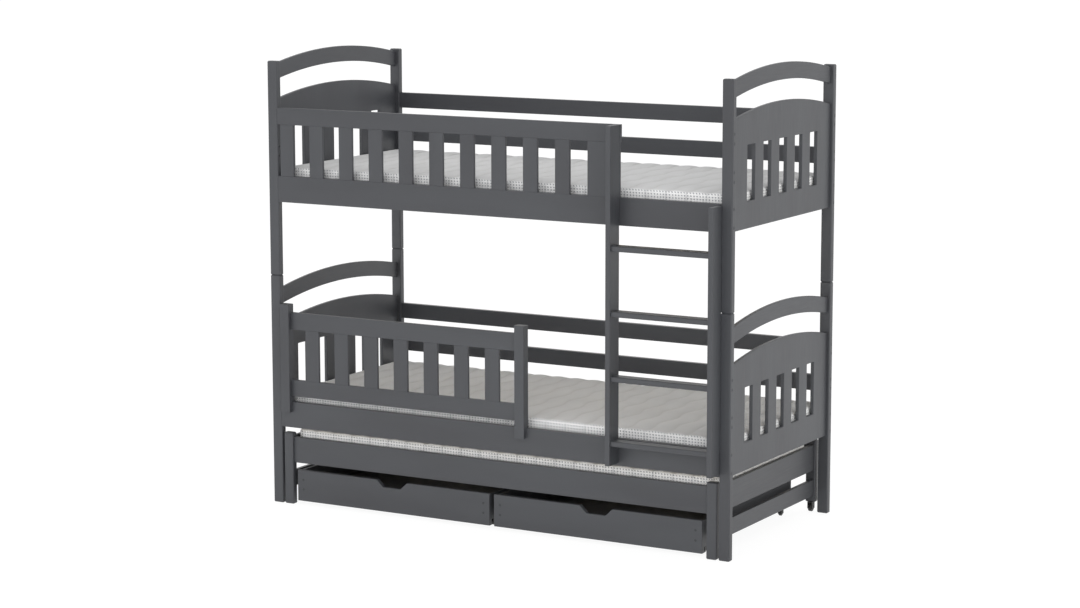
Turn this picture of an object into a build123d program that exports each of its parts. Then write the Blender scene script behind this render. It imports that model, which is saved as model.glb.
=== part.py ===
"""Bunk bed with a roll-out trundle bed and two drawers under it, in millimetres.

The bed's long side runs along X and its open side, with the ladder, faces -Y.
The origin lies on the floor, under the middle of the whole outline. +Z is up.
"""
import os

from build123d import *

# Mattresses
mattress_length = 1900
mattress_width = 800
mattress_height = 100
mattress_crown = 4
mattress_edge_radius = 11
mattress_side_draw = 4
mattress_corner_radius = 38
mattress_end_gap = 4
mattress_side_gap = 20.5
seat_gap = 0.3

# Bed posts, each a lower and an upper piece joined by a steel pin
lower_post_rise = 14.5
upper_post_drop = 32
post_width = 43
post_depth = 27
post_rounding = 4.5
post_end_chamfer = 3.5
pin_radius = 5
pin_length = 90
fit_gap = 0.1

# Rails that carry the bunks, and the rails on the wall side
lower_rail_z = 302
upper_rail_rise = 283.5
rail_height = 100
rail_thickness = 22
back_rail_height = 61
back_rail_pitch = 134
lower_back_rail_rise = 303
board_rounding = 1.5

# End panels with upright slots, and the arched rails above them
panel_thickness = 14
panel_inset = 12
arch_rise = 42
arch_rail_height = 61
arch_gap = 75
slot_count = 5
slot_width = 64
slot_side_margin = 115.5
slot_height = 200
slot_top_drop = 135
lower_slot_rise = 103
upper_slot_rise = 97
slot_corner_radius = 2
panel_rounding = 2

# Upper guard, with a wide end slat behind the ladder
guard_rail_height = 64
guard_rail_thickness = 18
guard_slat_thickness = 12
guard_slat_height = 196
guard_slat_width = 60
guard_slat_count = 10
guard_end_slat_width = 130
guard_first_gap = 12

# Ladder, its right stile lapping the bed post behind it
ladder_width = 424
ladder_depth = 70
ladder_post_lap = 3
stile_thickness = 19
stile_foot_rise = 10
stile_top_drop = 6
rung_count = 4
rung_first_rise = 81
rung_last_drop = 86
rung_thickness = 20
rung_depth = 50
rung_setback = 7.5
rung_rounding = 5

# Lower guard, its posts notched over the lower side rail
low_guard_length = 1078
low_guard_post_gap = 10
low_guard_post_width = 40
low_guard_post_depth = 34
low_guard_lap = 18
low_guard_tab_height = 38
low_guard_gap = 23
low_guard_bottom_height = 64
low_guard_top_height = 66
low_guard_post_rise = 32
low_guard_slat_width = 61
low_guard_slat_count = 7
low_guard_first_slot = 64
low_guard_last_slot = 75

# Slats that carry the mattresses, and the ledgers under them
ledger_width = 20
ledger_height = 24
trundle_ledger_height = 20
ledger_end_gap = 1
slat_width = 70
slat_thickness = 12
slat_end_margin = 50
slat_count = 13
slat_end_gap = 1.5
slat_rounding = 2

# Bed bolts through the posts, their cross nuts in the rails, and their caps
bolt_radius = 3
bolt_head_radius = 5.5
bolt_head_height = 5
bolt_hole_radius = 3.5
bolt_reach = 36
side_rail_bolt_spread = 33
small_rail_bolt_spread = 17
nut_radius = 5
nut_length = 12
nut_setback = 28
cap_radius = 6
cap_thickness = 2
cap_recess = 0.5

# Dowels and screws hidden in the joints
dowel_radius = 4
dowel_length = 30
dowel_depth_in_post = 12
rung_dowel_length = 24
rung_dowel_depth_in_stile = 10
rung_dowel_spacing = 26
panel_dowel_margin = 65
arch_dowel_spacing = 30
screw_radius = 2.5
screw_head_radius = 4.5
screw_head_height = 3.5
stile_screw_reach = 30
tab_screw_reach = 13
tab_screw_inset = 7
rail_screw_spread = 22

# Trundle bed
trundle_side_gap = 9
trundle_top_gap = 6.7
trundle_post_width = 40
trundle_post_top_gap = 21
trundle_rail_thickness = 18
trundle_rail_recess = 10
trundle_board_thickness = 16
trundle_board_recess = 6
trundle_board_gap = 37
trundle_low_board_height = 62
trundle_slat_count = 12
trundle_slat_end_margin = 76
trundle_caster_radius = 16
trundle_caster_width = 14
trundle_caster_back_gap = 1

# Drawers under the trundle
drawer_end_gap = 18
drawer_pair_gap = 20
drawer_front_z = 16
drawer_top_gap = 26
drawer_front_thickness = 18
drawer_front_recess = 4
drawer_back_gap = 116
drawer_side_rise = 21
drawer_side_drop = 3
drawer_side_thickness = 12
drawer_side_inset = 2
drawer_floor_rise = 8
drawer_floor_thickness = 6
drawer_groove_depth = 5
notch_top_width = 135
notch_bottom_width = 77
notch_depth = 27
notch_corner_radius = 9
drawer_cap_inset = 26
drawer_cap_height_shares = (0.38, 0.69)
drawer_cap_radius = 5
drawer_caster_radius = 12
drawer_caster_width = 10
drawer_caster_side_inset = 30
drawer_front_caster_setback = 86
drawer_back_caster_setback = 25

# Casters: an axle between two cheeks under a plate
axle_radius = 2
axle_clearance = 0.05
cheek_thickness = 2
cheek_side_gap = 1
caster_plate_thickness = 3
trundle_caster_top_gap = 3
caster_fork_share = 1.5
wheel_rounding_share = 0.2

# Heights, stacked from the lower rails upwards
arch_stack = slot_height + slot_top_drop + arch_gap + arch_rail_height
lower_arch_z = lower_rail_z + lower_slot_rise + arch_stack
lower_post_height = lower_arch_z + lower_post_rise
upper_rail_z = lower_post_height + upper_rail_rise
upper_arch_z = upper_rail_z + upper_slot_rise + arch_stack
bed_height = upper_arch_z - upper_post_drop
low_rail_top = lower_rail_z + rail_height
high_rail_top = upper_rail_z + rail_height
guard_rail_z = high_rail_top + guard_slat_height
guard_rail_top = guard_rail_z + guard_rail_height
low_guard_rail_z = low_rail_top + low_guard_gap
low_guard_slat_z = low_guard_rail_z + low_guard_bottom_height
low_guard_slat_top = low_guard_slat_z + guard_slat_height
low_guard_post_top = low_guard_slat_top + low_guard_top_height + low_guard_post_rise
slat_stack = ledger_height + slat_thickness + seat_gap
trundle_slat_stack = trundle_ledger_height + slat_thickness + seat_gap
trundle_rail_z = lower_rail_z - trundle_top_gap - mattress_height - trundle_slat_stack
trundle_post_top = lower_rail_z - trundle_post_top_gap
trundle_back_post_z = 2 * trundle_caster_radius + trundle_caster_top_gap + caster_plate_thickness
trundle_low_board_z = trundle_rail_z - trundle_board_gap - trundle_low_board_height
drawer_front_height = trundle_rail_z - drawer_top_gap - drawer_front_z
drawer_side_height = drawer_front_height - drawer_side_rise - drawer_side_drop
drawer_side_z = drawer_front_z + drawer_side_rise
drawer_floor_z = drawer_side_z + drawer_floor_rise

# Places worked out from the sizes above
bed_depth = mattress_width + 2 * (mattress_side_gap + rail_thickness)
bed_half = mattress_length / 2 + mattress_end_gap + panel_thickness + panel_inset
front_y = (ladder_depth - bed_depth) / 2
back_y = front_y + bed_depth
centre_y = (front_y + back_y) / 2
between_posts_half = bed_half - post_width
between_posts_depth = bed_depth - 2 * post_depth
panel_x = bed_half - panel_inset - panel_thickness / 2
bolt_inset = rail_thickness / 2
bolt_pocket_depth = cap_recess + cap_thickness + bolt_head_height
ladder_right_x = between_posts_half + ladder_post_lap
ladder_left_x = ladder_right_x - ladder_width
stile_right_x = ladder_right_x - stile_thickness / 2
stile_left_x = ladder_left_x + stile_thickness / 2
guard_right_x = ladder_left_x + stile_thickness
low_guard_left_x = low_guard_post_gap - between_posts_half
low_guard_right_x = low_guard_left_x + low_guard_length
low_guard_inner_left = low_guard_left_x + low_guard_post_width
low_guard_inner_right = low_guard_right_x - low_guard_post_width
low_guard_thickness = low_guard_post_depth - low_guard_lap
trundle_half = between_posts_half - trundle_side_gap
trundle_inner_half = trundle_half - trundle_post_width
trundle_board_x = trundle_half - trundle_board_recess - trundle_board_thickness / 2
trundle_front_rail_y = front_y + trundle_rail_recess + trundle_rail_thickness / 2
trundle_back_rail_y = back_y - trundle_rail_recess - trundle_rail_thickness / 2
trundle_mattress_length = 2 * (trundle_board_x - trundle_board_thickness / 2 - mattress_end_gap)
trundle_inside_depth = bed_depth - 2 * (trundle_rail_recess + trundle_rail_thickness)
drawer_front_width = trundle_inner_half - drawer_end_gap - drawer_pair_gap / 2
drawer_front_y = front_y + drawer_front_recess
drawer_back_y = back_y - drawer_back_gap
drawer_centre_x = (drawer_pair_gap + drawer_front_width) / 2
drawer_side_x = drawer_front_width / 2 - drawer_side_inset - drawer_side_thickness / 2
drawer_box_length = drawer_back_y - drawer_front_y - drawer_front_thickness
drawer_box_y = drawer_back_y - drawer_box_length / 2

rail_zs = {"lower": lower_rail_z, "upper": upper_rail_z}
arch_zs = {"lower": lower_arch_z, "upper": upper_arch_z}
x_sides = {"left": -1, "right": 1}
y_sides = {"front": -1, "back": 1}


def save(shape, name):
    """Label one finished piece and write its file."""
    shape.label = name
    export_step(shape, f"parts/{name}.step")


def side_y(sign, inset):
    """The place across the bed that lies a given depth inside the front or the back."""
    return centre_y + sign * (bed_depth / 2 - inset)


def evenly(count, pitch):
    """Places of a centred row."""
    return [pitch * (index - (count - 1) / 2) for index in range(count)]


def slat_places(length, count, end_margin):
    """Middles of the slats along a mattress."""
    return evenly(count, (length - 2 * end_margin) / (count - 1))


def back_rail_zs(tier):
    """Bottom edges of the two wall-side rails of one bunk, the upper bunk's in line with the guard."""
    if tier == "upper":
        top_rail_z = guard_rail_z + (guard_rail_height - back_rail_height) / 2
    else:
        top_rail_z = lower_rail_z + lower_back_rail_rise
    return [top_rail_z, top_rail_z - back_rail_pitch]


def bolt_heights(tier):
    """Heights of the six bolt holes in one post."""
    side_rail_middle = rail_zs[tier] + rail_height / 2
    heights = [side_rail_middle - side_rail_bolt_spread, side_rail_middle + side_rail_bolt_spread]
    for rail_z in back_rail_zs(tier):
        middle = rail_z + back_rail_height / 2
        heights += [middle - small_rail_bolt_spread, middle + small_rail_bolt_spread]
    return heights


def rail_bolts():
    """Side, depth place and height of every bolt that holds a rail: (x sign, y, z)."""
    places = []
    for tier in rail_zs:
        side_rail_heights = bolt_heights(tier)[:2]
        for sign in x_sides.values():
            places += [(sign, side_y(-1, bolt_inset), z) for z in side_rail_heights]
            places += [(sign, side_y(1, bolt_inset), z) for z in bolt_heights(tier)]
    places += [(-1, side_y(-1, bolt_inset), z) for z in guard_rail_bolt_heights()]
    return places


def guard_rail_bolt_heights():
    """Heights of the two bolts of the upper guard's top rail."""
    return bolt_heights("upper")[2:4]


def panel_edge_top(tier):
    """Height of an end panel's top edge beside the posts."""
    return arch_zs[tier] - arch_rail_height - arch_gap - arch_rise


def panel_dowel_heights(tier):
    """Heights of the dowels between an end panel or arched rail and a post."""
    bottom = rail_zs[tier] + panel_dowel_margin
    top = panel_edge_top(tier) - panel_dowel_margin
    rail_middle = arch_zs[tier] - arch_rise - arch_rail_height / 2
    half = arch_dowel_spacing / 2
    return [bottom, (bottom + top) / 2, top, rail_middle - half, rail_middle + half]


def make_posts():
    """Lower and upper post at each corner, drilled for bolts, dowels and the joining pin."""
    spans = {"lower": (0, lower_post_height), "upper": (lower_post_height, bed_height)}
    for tier, (foot_z, top_z) in spans.items():
        for y_name, y_sign in y_sides.items():
            for x_name, x_sign in x_sides.items():
                save(post(tier, foot_z, top_z, x_sign, y_sign), f"post_{tier}_{y_name}_{x_name}")


def post(tier, foot_z, top_z, x_sign, y_sign):
    """One post piece with rounded edges."""
    x = x_sign * (bed_half - post_width / 2)
    y = side_y(y_sign, post_depth / 2)
    with BuildPart() as piece:
        with BuildSketch(Plane.XY.offset(foot_z)):
            with Locations((x, y)):
                RectangleRounded(post_width, post_depth, post_rounding)
        extrude(amount=top_z - foot_z)
        ends = piece.faces().filter_by(Axis.Z)
        chamfer(ends.edges(), post_end_chamfer)
        bolt_y = side_y(y_sign, bolt_inset)
        with Locations(*[(x, bolt_y, z) for z in bolt_heights(tier)]):
            Cylinder(bolt_hole_radius, post_width, rotation=(0, 90, 0), mode=Mode.SUBTRACT)
        pocket_x = x_sign * (bed_half - bolt_pocket_depth / 2)
        with Locations(*[(pocket_x, bolt_y, z) for z in bolt_heights(tier)]):
            Cylinder(cap_radius, bolt_pocket_depth, rotation=(0, 90, 0), mode=Mode.SUBTRACT)
        dowel_y = side_y(y_sign, post_depth)
        with Locations(*[(x_sign * panel_x, dowel_y, z) for z in panel_dowel_heights(tier)]):
            Cylinder(dowel_radius + fit_gap, 2 * dowel_depth_in_post, rotation=(90, 0, 0),
                     mode=Mode.SUBTRACT)
        with Locations((x, y, lower_post_height)):
            Cylinder(pin_radius + fit_gap, pin_length, mode=Mode.SUBTRACT)
    return piece.part


def make_post_pins():
    """Steel pins that hold the upper posts on the lower ones."""
    with BuildPart() as pins:
        for y_sign in y_sides.values():
            for x_sign in x_sides.values():
                with Locations((x_sign * (bed_half - post_width / 2), side_y(y_sign, post_depth / 2),
                                lower_post_height)):
                    Cylinder(pin_radius, pin_length)
    save(pins.part, "post_pins")


def make_bolts():
    """Bed bolts with their cross nuts, as separate solids."""
    seat_x = bed_half - bolt_pocket_depth
    tip_x = between_posts_half - bolt_reach
    shank_length = seat_x - tip_x
    with BuildPart() as bolts:
        for sign, y, z in rail_bolts():
            with Locations((sign * (seat_x + bolt_head_height / 2), y, z)):
                Cylinder(bolt_head_radius, bolt_head_height, rotation=(0, 90, 0))
            with Locations((sign * (seat_x - shank_length / 2), y, z)):
                Cylinder(bolt_radius, shank_length, rotation=(0, 90, 0))
    with BuildPart() as nuts:
        for sign, y, z in rail_bolts():
            with Locations((sign * (between_posts_half - nut_setback), y, z)):
                Cylinder(nut_radius, nut_length, rotation=(90, 0, 0))
                Cylinder(bolt_radius + fit_gap, 2 * nut_radius, rotation=(0, 90, 0),
                         mode=Mode.SUBTRACT)
    save(Compound(children=[*bolts.part.solids(), *nuts.part.solids()]), "bed_bolts")

    cap_x = bed_half - cap_recess - cap_thickness / 2
    with BuildPart() as caps:
        for tier in rail_zs:
            for x_sign in x_sides.values():
                for y_sign in y_sides.values():
                    places = [(x_sign * cap_x, side_y(y_sign, bolt_inset), z)
                              for z in bolt_heights(tier)]
                    with Locations(*places):
                        Cylinder(cap_radius, cap_thickness, rotation=(0, 90, 0))
    save(caps.part, "bolt_caps")


def straight_rail(x_low, x_high, y, z_low, height, thickness, bolt_spots):
    """A rail along X, drilled at its ends for bolts and cross nuts: spots are (x sign, y, z)."""
    with BuildPart() as rail:
        with Locations(((x_low + x_high) / 2, y, z_low + height / 2)):
            Box(x_high - x_low, thickness, height)
        fillet(rail.edges().filter_by(Axis.X), board_rounding)
        for sign, bolt_y, z in bolt_spots:
            with Locations((sign * (between_posts_half - bolt_reach / 2), bolt_y, z)):
                Cylinder(bolt_hole_radius, bolt_reach, rotation=(0, 90, 0), mode=Mode.SUBTRACT)
            with Locations((sign * (between_posts_half - nut_setback), bolt_y, z)):
                Cylinder(nut_radius + fit_gap, nut_length, rotation=(90, 0, 0), mode=Mode.SUBTRACT)
    return rail.part


def make_side_rails():
    """The four rails that carry the slats, the front ones drilled for ladder and guard screws."""
    for tier, rail_z in rail_zs.items():
        for y_name, y_sign in y_sides.items():
            y = side_y(y_sign, rail_thickness / 2)
            spots = [(x_sign, side_y(y_sign, bolt_inset), z)
                     for x_sign in x_sides.values() for z in bolt_heights(tier)[:2]]
            blank = straight_rail(-between_posts_half, between_posts_half, y, rail_z,
                                  rail_height, rail_thickness, spots)
            with BuildPart() as rail:
                add(blank)
                for x, z, thickness, _ in screw_places():
                    if y_sign < 0 and rail_z < z < rail_z + rail_height:
                        cut_screw_hole(x, z, thickness)
            save(rail.part, f"side_rail_{tier}_{y_name}")


def make_back_rails():
    """Two rails above each bunk on the wall side, two solids per file."""
    for tier in rail_zs:
        y = side_y(1, rail_thickness / 2)
        with BuildPart() as rails:
            for rail_z in back_rail_zs(tier):
                middle = rail_z + back_rail_height / 2
                spots = [(x_sign, side_y(1, bolt_inset), middle + offset)
                         for x_sign in x_sides.values()
                         for offset in (-small_rail_bolt_spread, small_rail_bolt_spread)]
                add(straight_rail(-between_posts_half, between_posts_half, y, rail_z,
                                  back_rail_height, rail_thickness, spots))
        save(rails.part, f"back_rails_{tier}")


def make_end_panels():
    """End panels between the posts: five upright slots under an arched top edge."""
    half = between_posts_depth / 2
    slot_span = between_posts_depth - 2 * slot_side_margin - slot_width
    slot_ys = evenly(slot_count, slot_span / (slot_count - 1))
    for tier, rail_z in rail_zs.items():
        edge_top = panel_edge_top(tier)
        peak = edge_top + arch_rise
        slot_middle = peak - slot_top_drop - slot_height / 2
        for x_name, x_sign in x_sides.items():
            with BuildPart() as panel:
                with BuildSketch(Plane.YZ.offset(x_sign * panel_x)):
                    with BuildLine():
                        Polyline((centre_y - half, edge_top), (centre_y - half, rail_z),
                                 (centre_y + half, rail_z), (centre_y + half, edge_top))
                        ThreePointArc((centre_y + half, edge_top), (centre_y, peak),
                                      (centre_y - half, edge_top))
                    make_face()
                    with Locations(*[(centre_y + y, slot_middle) for y in slot_ys]):
                        RectangleRounded(slot_width, slot_height, slot_corner_radius,
                                         mode=Mode.SUBTRACT)
                extrude(amount=panel_thickness / 2, both=True)
                fillet(panel.edges().filter_by(Plane.YZ).filter_by(
                    lambda edge: abs(edge.center().Y - centre_y) < half - panel_rounding),
                    panel_rounding)
                cut_dowel_holes(x_sign * panel_x, panel_dowel_heights(tier)[:3])
            save(panel.part, f"end_panel_{tier}_{x_name}")


def make_arch_rails():
    """Arched rails above the end panels, of even height along the arch."""
    half = between_posts_depth / 2
    for tier, peak in arch_zs.items():
        edge_top = peak - arch_rise
        for x_name, x_sign in x_sides.items():
            with BuildPart() as rail:
                with BuildSketch(Plane.YZ.offset(x_sign * panel_x)):
                    with BuildLine():
                        ThreePointArc((centre_y - half, edge_top), (centre_y, peak),
                                      (centre_y + half, edge_top))
                        Line((centre_y + half, edge_top),
                             (centre_y + half, edge_top - arch_rail_height))
                        ThreePointArc((centre_y + half, edge_top - arch_rail_height),
                                      (centre_y, peak - arch_rail_height),
                                      (centre_y - half, edge_top - arch_rail_height))
                        Line((centre_y - half, edge_top - arch_rail_height),
                             (centre_y - half, edge_top))
                    make_face()
                extrude(amount=panel_thickness / 2, both=True)
                chamfer(rail.edges().filter_by(GeomType.CIRCLE), panel_rounding)
                cut_dowel_holes(x_sign * panel_x, panel_dowel_heights(tier)[3:])
            save(rail.part, f"arch_rail_{tier}_{x_name}")


def cut_dowel_holes(x, heights):
    """Blind holes in the two upright edges of the end board that is being made."""
    depth = dowel_length - dowel_depth_in_post
    places = [(x, side_y(sign, post_depth), z) for sign in y_sides.values() for z in heights]
    with Locations(*places):
        Cylinder(dowel_radius + fit_gap, 2 * depth, rotation=(90, 0, 0), mode=Mode.SUBTRACT)


def make_dowels():
    """Wood dowels of the end panels, arched rails and rungs."""
    with BuildPart() as dowels:
        middle_inset = post_depth + dowel_length / 2 - dowel_depth_in_post
        for tier in rail_zs:
            for x_sign in x_sides.values():
                for y_sign in y_sides.values():
                    places = [(x_sign * panel_x, side_y(y_sign, middle_inset), z)
                              for z in panel_dowel_heights(tier)]
                    with Locations(*places):
                        Cylinder(dowel_radius, dowel_length, rotation=(90, 0, 0))
        for x, y, z in rung_dowel_places():
            with Locations((x, y, z)):
                Cylinder(dowel_radius, rung_dowel_length, rotation=(0, 90, 0))
    save(dowels.part, "wood_dowels")


def rung_zs():
    """Bottom faces of the rungs."""
    first_z = lower_rail_z + rung_first_rise
    pitch = (upper_rail_z - rung_last_drop - first_z) / (rung_count - 1)
    return [first_z + index * pitch for index in range(rung_count)]


def rung_y():
    """Middle of the rungs across the ladder."""
    return front_y - ladder_depth + rung_setback + rung_depth / 2


def rung_dowel_places():
    """Middle of every rung dowel."""
    shift = rung_dowel_length / 2 - rung_dowel_depth_in_stile
    left_x = ladder_left_x + stile_thickness + shift
    right_x = ladder_right_x - stile_thickness - shift
    return [(x, rung_y() + offset, z + rung_thickness / 2)
            for x in (left_x, right_x)
            for offset in evenly(2, rung_dowel_spacing)
            for z in rung_zs()]


def make_ladder():
    """Two stiles in front of the rails, and the rungs between them."""
    foot_z = lower_rail_z + stile_foot_rise
    stiles = {"left": (stile_left_x, guard_rail_top),
              "right": (stile_right_x, high_rail_top - stile_top_drop)}
    for name, (x, top_z) in stiles.items():
        with BuildPart() as stile:
            with BuildSketch(Plane.XY.offset(foot_z)):
                with Locations((x, front_y - ladder_depth / 2)):
                    Rectangle(stile_thickness, ladder_depth)
            extrude(amount=top_z - foot_z)
            fillet(stile.edges(), board_rounding)
            with Locations(*rung_dowel_places()):
                Cylinder(dowel_radius + fit_gap, rung_dowel_length, rotation=(0, 90, 0),
                         mode=Mode.SUBTRACT)
            for screw_x, z, _, reach in screw_places():
                if abs(screw_x - x) < stile_thickness / 2 and reach == stile_screw_reach:
                    with Locations((screw_x, front_y, z)):
                        Cylinder(screw_radius + fit_gap, 2 * reach, rotation=(90, 0, 0),
                                 mode=Mode.SUBTRACT)
        save(stile.part, f"ladder_stile_{name}")

    rung_length = ladder_width - 2 * stile_thickness
    rung_x = (ladder_left_x + ladder_right_x) / 2
    with BuildPart() as rungs:
        with Locations(*[(rung_x, rung_y(), z + rung_thickness / 2) for z in rung_zs()]):
            Box(rung_length, rung_depth, rung_thickness)
        fillet(rungs.edges().filter_by(Axis.X), rung_rounding)
        with Locations(*rung_dowel_places()):
            Cylinder(dowel_radius + fit_gap, rung_dowel_length, rotation=(0, 90, 0),
                     mode=Mode.SUBTRACT)
    save(rungs.part, "ladder_rungs")


def screw_places():
    """Screws driven from inside the rails: (x, z, thickness of the rail, reach beyond it)."""
    spots = []
    for x in (stile_left_x, stile_right_x):
        for rail_z in rail_zs.values():
            middle = rail_z + rail_height / 2
            spots += [(x, middle - rail_screw_spread, rail_thickness, stile_screw_reach),
                      (x, middle + rail_screw_spread, rail_thickness, stile_screw_reach)]
    spots.append((stile_left_x, guard_rail_z + guard_rail_height / 2, guard_rail_thickness,
                  stile_screw_reach))
    for x in (low_guard_inner_left - tab_screw_inset, low_guard_inner_right + tab_screw_inset):
        spots.append((x, low_rail_top - low_guard_tab_height / 2, rail_thickness, tab_screw_reach))
    return spots


def cut_screw_hole(x, z, thickness):
    """A hole through the front rail that is being made, with a pocket inside for the head."""
    with Locations((x, front_y + thickness / 2, z)):
        Cylinder(screw_radius + fit_gap, thickness, rotation=(90, 0, 0), mode=Mode.SUBTRACT)
    with Locations((x, front_y + thickness - screw_head_height / 2, z)):
        Cylinder(screw_head_radius + fit_gap, screw_head_height, rotation=(90, 0, 0),
                 mode=Mode.SUBTRACT)


def make_screws():
    """Screws that hold the ladder and the lower guard to the front rails."""
    with BuildPart() as screws:
        for x, z, thickness, reach in screw_places():
            length = thickness + reach - screw_head_height
            with Locations((x, front_y + thickness - screw_head_height / 2, z)):
                Cylinder(screw_head_radius, screw_head_height, rotation=(90, 0, 0))
            with Locations((x, front_y - reach + length / 2, z)):
                Cylinder(screw_radius, length, rotation=(90, 0, 0))
    save(screws.part, "ladder_and_guard_screws")


def make_upper_guard():
    """Top rail of the upper guard, its slats, and the wide end slat behind the ladder."""
    spots = [(-1, side_y(-1, bolt_inset), z) for z in guard_rail_bolt_heights()]
    blank = straight_rail(-between_posts_half, guard_right_x, front_y + guard_rail_thickness / 2,
                          guard_rail_z, guard_rail_height, guard_rail_thickness, spots)
    with BuildPart() as rail:
        add(blank)
        cut_screw_hole(stile_left_x, guard_rail_z + guard_rail_height / 2, guard_rail_thickness)
    save(rail.part, "guard_top_rail")

    first_x = guard_first_gap - between_posts_half
    end_slat_x = guard_right_x - guard_end_slat_width
    pitch = (end_slat_x - first_x) / guard_slat_count
    edges = [(first_x + index * pitch, first_x + index * pitch + guard_slat_width)
             for index in range(guard_slat_count)]
    edges.append((end_slat_x, guard_right_x))
    with BuildPart() as slats:
        for low, high in edges:
            with Locations(((low + high) / 2, front_y + guard_slat_thickness / 2,
                            high_rail_top + guard_slat_height / 2)):
                Box(high - low, guard_slat_thickness, guard_slat_height)
        fillet(slats.edges().filter_by(Axis.Z), panel_rounding)
    save(slats.part, "guard_slats")


def make_lower_guard():
    """Guard of the lower bunk: notched posts, two rails and the slats between them."""
    with BuildPart() as posts:
        for x in (low_guard_inner_left - low_guard_post_width / 2,
                  low_guard_inner_right + low_guard_post_width / 2):
            with BuildSketch(Plane.YZ.offset(x)):
                with BuildLine():
                    Polyline((front_y - low_guard_lap, low_rail_top - low_guard_tab_height),
                             (front_y, low_rail_top - low_guard_tab_height),
                             (front_y, low_rail_top),
                             (front_y + low_guard_thickness, low_rail_top),
                             (front_y + low_guard_thickness, low_guard_post_top),
                             (front_y - low_guard_lap, low_guard_post_top), close=True)
                make_face()
            extrude(amount=low_guard_post_width / 2, both=True)
        outer_edges = posts.edges().filter_by(Axis.Z) - posts.edges().filter_by(
            lambda edge: abs(edge.center().Y - front_y) < board_rounding)
        fillet(outer_edges, board_rounding)
        for x, z, _, reach in screw_places():
            if reach == tab_screw_reach:
                with Locations((x, front_y, z)):
                    Cylinder(screw_radius + fit_gap, 2 * reach, rotation=(90, 0, 0),
                             mode=Mode.SUBTRACT)
    save(posts.part, "lower_guard_posts")

    inner_length = low_guard_inner_right - low_guard_inner_left
    middle_x = (low_guard_inner_left + low_guard_inner_right) / 2
    middle_y = front_y + low_guard_thickness / 2
    levels = ((low_guard_rail_z, low_guard_bottom_height), (low_guard_slat_top, low_guard_top_height))
    with BuildPart() as rails:
        for z, height in levels:
            with Locations((middle_x, middle_y, z + height / 2)):
                Box(inner_length, low_guard_thickness, height)
        fillet(rails.edges().filter_by(Axis.X), board_rounding)
    save(rails.part, "lower_guard_rails")

    first_x = low_guard_inner_left + low_guard_first_slot + low_guard_slat_width / 2
    last_x = low_guard_inner_right - low_guard_last_slot - low_guard_slat_width / 2
    pitch = (last_x - first_x) / (low_guard_slat_count - 1)
    with BuildPart() as slats:
        for index in range(low_guard_slat_count):
            with Locations((first_x + index * pitch, front_y + guard_slat_thickness / 2,
                            low_guard_slat_z + guard_slat_height / 2)):
                Box(low_guard_slat_width, guard_slat_thickness, guard_slat_height)
        fillet(slats.edges().filter_by(Axis.Z), panel_rounding)
    save(slats.part, "lower_guard_slats")


def make_bed_slats():
    """Ledgers on the side rails, and the slats that lie on them."""
    ledger_length = 2 * (between_posts_half - ledger_end_gap)
    with BuildPart() as ledgers:
        for rail_z in rail_zs.values():
            for y_sign in y_sides.values():
                with Locations((0, side_y(y_sign, rail_thickness + ledger_width / 2),
                                rail_z + ledger_height / 2)):
                    Box(ledger_length, ledger_width, ledger_height)
    save(ledgers.part, "slat_ledgers")

    span = bed_depth - 2 * (rail_thickness + slat_end_gap)
    for tier, rail_z in rail_zs.items():
        with BuildPart() as slats:
            with Locations(*[(x, centre_y, rail_z + ledger_height + slat_thickness / 2)
                             for x in slat_places(mattress_length, slat_count, slat_end_margin)]):
                Box(slat_width, span, slat_thickness)
            fillet(slats.edges().filter_by(Axis.Y), slat_rounding)
        save(slats.part, f"bed_slats_{tier}")


def mattress(length, bottom_z):
    """A mattress with a crowned top, drawn-in sides and rounded corners."""
    top_z = bottom_z + mattress_height
    with BuildPart() as pad:
        for plane, middle, half in ((Plane.YZ, centre_y, mattress_width / 2), (Plane.XZ, 0, length / 2)):
            shoulder = top_z - mattress_crown - mattress_edge_radius
            foot = bottom_z + mattress_edge_radius
            draw = mattress_side_draw
            with BuildSketch(plane):
                with BuildLine():
                    low_left = (middle - half + mattress_edge_radius, bottom_z)
                    low_right = (middle + half - mattress_edge_radius, bottom_z)
                    top_right = (middle + half - mattress_edge_radius, top_z - mattress_crown)
                    top_left = (middle - half + mattress_edge_radius, top_z - mattress_crown)
                    Line(low_left, low_right)
                    RadiusArc(low_right, (middle + half, foot), -mattress_edge_radius)
                    ThreePointArc((middle + half, foot), (middle + half - draw, (foot + shoulder) / 2),
                                  (middle + half, shoulder))
                    RadiusArc((middle + half, shoulder), top_right, -mattress_edge_radius)
                    ThreePointArc(top_right, (middle, top_z), top_left)
                    RadiusArc(top_left, (middle - half, shoulder), -mattress_edge_radius)
                    ThreePointArc((middle - half, shoulder), (middle - half + draw, (foot + shoulder) / 2),
                                  (middle - half, foot))
                    RadiusArc((middle - half, foot), low_left, -mattress_edge_radius)
                make_face()
            extrude(amount=mattress_length, both=True,
                    mode=Mode.ADD if plane == Plane.YZ else Mode.INTERSECT)
        with BuildSketch(Plane.XY.offset(bottom_z)):
            with Locations((0, centre_y)):
                RectangleRounded(length, mattress_width, mattress_corner_radius)
        extrude(amount=mattress_height, mode=Mode.INTERSECT)
    return pad.part


def make_mattresses():
    """The two bunk mattresses and the trundle's."""
    save(mattress(mattress_length, lower_rail_z + slat_stack), "mattress_lower")
    save(mattress(mattress_length, upper_rail_z + slat_stack), "mattress_upper")
    save(mattress(trundle_mattress_length, trundle_rail_z + trundle_slat_stack), "mattress_trundle")


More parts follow.
